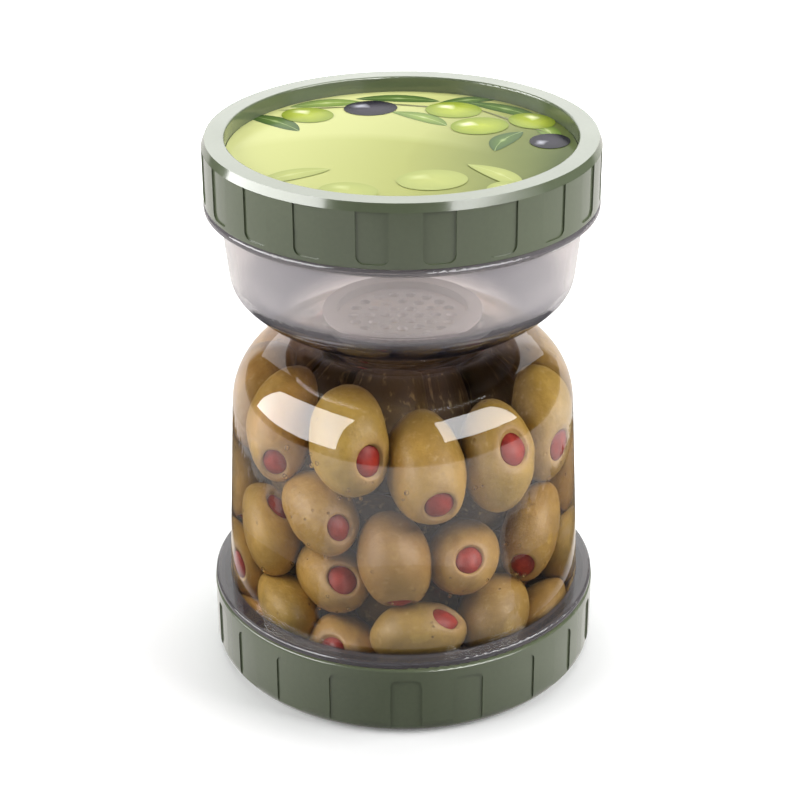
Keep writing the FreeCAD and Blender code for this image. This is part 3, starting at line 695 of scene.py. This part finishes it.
def olive_forms(olive, fine):
    """One olive with how near its points are to the lip, and the pepper in its end with its
    painted shade on each point, most at its edge and under it."""
    centre, axis, long_, wide, end, _ = olive
    waves = [(rng.normal(0, 1, 3), rng.uniform(0, 6.28), rng.uniform(0.006, 0.015))
             for _ in range(5)]
    skew = rng.uniform(-0.045, 0.045)

    def skin(way):
        radius = oval(way, axis, long_, wide) * (1 + skew * float(np.dot(way, axis)))
        for direction, phase, height in waves:
            radius *= 1 + height * math.sin(2.6 * float(np.dot(direction, way)) + phase)
        return radius

    hole = math.asin(min(0.9, rng.uniform(*HOLE_RADIUS) / skin(end)))
    rag = [(rng.integers(2, 6), rng.uniform(0, 6.28), rng.uniform(0.03, 0.10)) for _ in range(3)]
    crown = 0.5 + rng.uniform(-0.5, 0.1) * 0.6

    def flesh(way, angle):
        radius, share = skin(way), angle / hole
        if share < FLOOR_END:
            return radius - HOLE_FLOOR
        if share < EDGE_END:
            return radius - HOLE_EDGE
        if share < LIP_END:
            return radius - LIP_DROP * (1 - (share - EDGE_END) / (LIP_END - EDGE_END)) ** 2
        if angle > math.pi - TAIL_REACH:
            return radius - TAIL_DIMPLE * (1 - (math.pi - angle) / TAIL_REACH)
        return radius

    way_at = ways_about(end)
    segments, steps = (40, 15) if fine else (26, 11)
    angles = [hole * share for share in HOLE_RINGS]
    first = angles[-1]
    angles += [first + (math.pi - first) * (k / steps) for k in range(1, steps)]
    angles = sorted([*angles, *TAIL_RINGS])
    points = [end * flesh(end, 0.0)]
    for angle in angles:
        for turn in turns(segments):
            way = way_at(angle, turn)
            points.append(way * flesh(way, angle))
    points.append(-end * flesh(-end, math.pi))
    lips = [1.0] + [max(0.0, 1 - abs(angle / hole - 1.0) / 0.6)
                    for angle in angles for _ in range(segments)] + [0.0]
    body = [centre + p for p in points], ring_faces(len(angles), segments, True)

    def pepper(way, share):
        return skin(way) - PEPPER_EDGE + crown * (1 - share ** 2)

    points, edges = [end * pepper(end, 0.0)], [0.0]
    for share in PEPPER_RINGS:
        for turn in turns(PEPPER_SEGMENTS):
            ragged = 1 + sum(h * math.sin(m * turn + p) for m, p, h in rag) * 0.3
            way = way_at(hole * share * ragged, turn)
            points.append(way * pepper(way, share))
            # painted shade, growing towards the pepper's edge
            edges.append(share ** 3)
    for turn in turns(PEPPER_SEGMENTS):
        way = way_at(hole * PEPPER_UNDER_RING, turn)
        points.append(way * (skin(way) - PEPPER_UNDER))
    points.append(end * (skin(end) - PEPPER_UNDER))
    # full painted shade on the pepper's underside
    edges += [1.0] * (PEPPER_SEGMENTS + 1)
    plug = ([centre + p for p in points],
            ring_faces(len(PEPPER_RINGS) + 1, PEPPER_SEGMENTS, True))
    return body, lips, plug, edges


olives = settled(starting_olives())
bodies, plugs, tones, lips, dims, edges = [], [], [], [], [], []
for index, olive in enumerate(olives):
    body, lip, plug, edge = olive_forms(olive, index < len(PLACED))
    bodies.append(body)
    plugs.append(plug)
    lips += lip
    edges += edge
    tones += [rng.random()] * len(body[0])
    # partly its own tone, partly painted shade on some placed olives
    browner = PLACED[index][-1] if index < len(PLACED) else 0.35 * rng.random() ** 2
    dims += [browner] * len(body[0])

stuffed = mesh_piece("stuffed_olives", *gathered(bodies), OLIVE, "olive")
keep_on_points(stuffed, tone=tones, lip=lips, dim=dims)
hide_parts("olives")
stuffing = mesh_piece("pepper_stuffing", *gathered(plugs), PIMENTO, "olive")
# edge: the pepper's painted shade
keep_on_points(stuffing, edge=edges)


# ------------------------------------------------------------------ bubbles on the front olives

BUBBLE_TRIES = 70
BUBBLE_RADIUS = (0.35, 0.75)
BUBBLE_RINGS, BUBBLE_SEGMENTS = 7, 10


def ball(centre, radius):
    rises = np.linspace(-math.pi / 2, math.pi / 2, BUBBLE_RINGS)[1:-1]
    around = [(radius * math.cos(a), radius * math.sin(a)) for a in rises]
    points, faces = lathe([(0, -radius), *around, (0, radius)], BUBBLE_SEGMENTS)
    return [np.array(p) + centre for p in points], faces


bubbles = []
for _ in range(BUBBLE_TRIES):
    olive = olives[int(rng.integers(len(PLACED)))]
    way = heading(-90 + rng.normal(0, 40), rng.uniform(-60, 20))
    size = rng.uniform(*BUBBLE_RADIUS)
    spot = olive.centre + way * (oval(way, olive.axis, olive.long, olive.wide) + size * 0.6)
    if room_left(spot, size)[0] > 0.3:
        bubbles.append(ball(spot, size))
mesh_piece("bubbles", *gathered(bubbles), BUBBLE, "brine")


# ------------------------------------------------------------------ lamps

def lamp(name, place, aim, width, height, radiance, ray):
    """A flat lamp that only one kind of ray meets."""
    light = bpy.data.lights.new(name, "AREA")
    light.shape = "RECTANGLE"
    light.size, light.size_y = width, height
    light.energy = radiance * math.pi * width * height
    made = bpy.data.objects.new(name, light)
    made.location = place
    made.rotation_euler = (Vector(aim) - Vector(place)).to_track_quat("-Z", "Y").to_euler()
    for kind in ("camera", "diffuse", "glossy", "transmission"):
        setattr(made, "visible_" + kind, kind == ray)
    bpy.context.scene.collection.objects.link(made)


def softbox(name, azimuth, distance, left, right, low, high, radiance, ray):
    """An upright lamp that faces the jar: the azimuth it stands at, and its edges in parts
    of its distance."""
    turn = math.radians(azimuth)
    towards = Vector((math.sin(turn), -math.cos(turn), 0))
    along = Vector((math.cos(turn), math.sin(turn), 0))
    base = Vector((0, 0, 0.09))
    place = (base + towards * distance + along * distance * (left + right) / 2
             + Vector((0, 0, distance * (low + high) / 2)))
    lamp(name, place, place - towards, (right - left) * distance, (high - low) * distance,
         radiance, ray)


softbox("left_soft", -75, 0.8, -0.5, 0.5, 0.2, 1.1, 4.9, "diffuse")
softbox("right_soft", 80, 0.8, -0.4, 0.4, 0.3, 1.1, 8.6, "diffuse")
softbox("left_glint", -50, 0.6, -1.73, 0.14, 0.08, 1.22, 12.0, "glossy")
softbox("right_glint", 45, 0.6, -0.34, 0.75, 0.40, 1.28, 12.0, "glossy")
lamp("top_soft", (0.05, 0.35, 0.9), (0, 0, 0.12), 0.8, 0.5, 4.6, "diffuse")
lamp("back_glint", (0, 0.9, 0.75), (0, 0, 0.15), 1.6, 0.8, 1.6, "glossy")


# ------------------------------------------------------------------ floor and surroundings

def floor_look(n):
    """White paper that keeps the jar's soft shadow and is pure white away from it; close to the
    jar it glows less, as painted shade round the jar. For gloss it glows bright far out, in a
    ragged wedge in front and in a ring close by, and dark between, as painted reflections."""
    path = n.add("LightPath")
    away, _ = from_axis(n)
    x, y, _ = n.place_parts()

    paper = n.add("BsdfDiffuse", Color=n.blend(n.patches(3, 2, 0.3, 0.7), (0.80, 0.80, 0.80),
                                               (0.81, 0.81, 0.81)))
    # painted shade: the glow is weakest close to the jar
    near_glow = n.ramp(away, 0.062, 0.140, 0.13, 0.62)
    far_glow = n.ramp(away, 0.22, 0.50, 0.0, 0.38)
    glow = n.add("Emission", Color=(1, 1, 1), Strength=n.plus(near_glow, far_glow))
    lit = n.add("AddShader", i0=paper, i1=glow)

    # painted reflections: for gloss rays the floor glows in these shapes, which the jar shows as
    # haze
    ragged = n.times(n.less(n.noise(70, 3, 0.7), 0.5), 0.05)
    right_side = n.plus(n.less(x, y), ragged)
    left_side = n.plus(n.less(n.times(y, -1.7), x), ragged)
    wedge = n.times(n.ramp(right_side, 0.0, 0.003), n.ramp(left_side, 0.0, 0.003))
    wedge = n.times(wedge, n.ramp(away, 0.085, 0.10))
    bright = n.most(n.ramp(n.plus(away, ragged), 0.170, 0.173), wedge)
    sideways = n.ramp(n.maths("ABSOLUTE", x), 0.01, 0.06, 0.30, 1.0)
    close = n.times(n.ramp(away, 0.095, 0.088), sideways)
    gloss = n.add("Emission", Color=(1, 0.97, 0.945),
                  Strength=n.most(n.ramp(bright, 0.0, 1.0, 0.10, 1.0), close))

    bounce = n.add("BsdfDiffuse", Color=(0.34, 0.34, 0.34))
    seen = n.most(*(path.outputs[ray] for ray in
                    ("Is Camera Ray", "Is Glossy Ray", "Is Transmission Ray")))
    shown = n.mix_shader(path.outputs["Is Glossy Ray"], lit, gloss)
    n.finish(n.mix_shader(seen, bounce, shown))


floor_mesh = bpy.data.meshes.new("floor")
floor_mesh.from_pydata([(-0.9, -0.46, 0), (0.9, -0.46, 0), (1.6, 2.5, 0), (-1.6, 2.5, 0)], [],
                       [(0, 1, 2, 3)])
floor_mesh.materials.append(material("floor_paper", floor_look))
floor = bpy.data.objects.new("floor", floor_mesh)
bpy.context.scene.collection.objects.link(floor)


def world_look(n):
    """Soft grey light; white to the camera, and to gloss and bent rays white only far behind
    the jar."""
    path = n.add("LightPath")
    _, back, _ = n.place_parts("Generated")
    behind = n.blend(n.ramp(back, 0.83, 0.87), (0.03, 0.03, 0.033), (1, 1, 1))
    bent = n.most(path.outputs["Is Glossy Ray"], path.outputs["Is Transmission Ray"])
    colour = n.layers((0.16, 0.16, 0.165), (bent, behind),
                      (path.outputs["Is Camera Ray"], (1, 1, 1)))
    n.add("OutputWorld", Surface=n.add("Background", Color=colour, Strength=1.0))


world = bpy.data.worlds.new("studio")
bpy.context.scene.world = world
world_look(Nodes(world))


# ------------------------------------------------------------------ camera

CAMERA_TILT = math.radians(26.71)
CAMERA_ROLL = math.radians(-0.24)
CAMERA_AWAY = 0.584

camera_data = bpy.data.cameras.new("camera")
camera_data.lens, camera_data.sensor_width = 90, 36
camera_data.shift_x, camera_data.shift_y = -0.00354, -0.00849
camera_data.clip_start, camera_data.clip_end = 0.01, 20
camera = bpy.data.objects.new("camera", camera_data)
bpy.context.scene.collection.objects.link(camera)
camera.location = (0, -CAMERA_AWAY * math.cos(CAMERA_TILT),
                   HEIGHT * MM / 2 + CAMERA_AWAY * math.sin(CAMERA_TILT))
camera.rotation_euler = (math.pi / 2 - CAMERA_TILT, 0, 0)
camera.rotation_euler.rotate_axis("Z", CAMERA_ROLL)
bpy.context.scene.camera = camera
bpy.context.scene.view_settings.view_transform = "Standard"
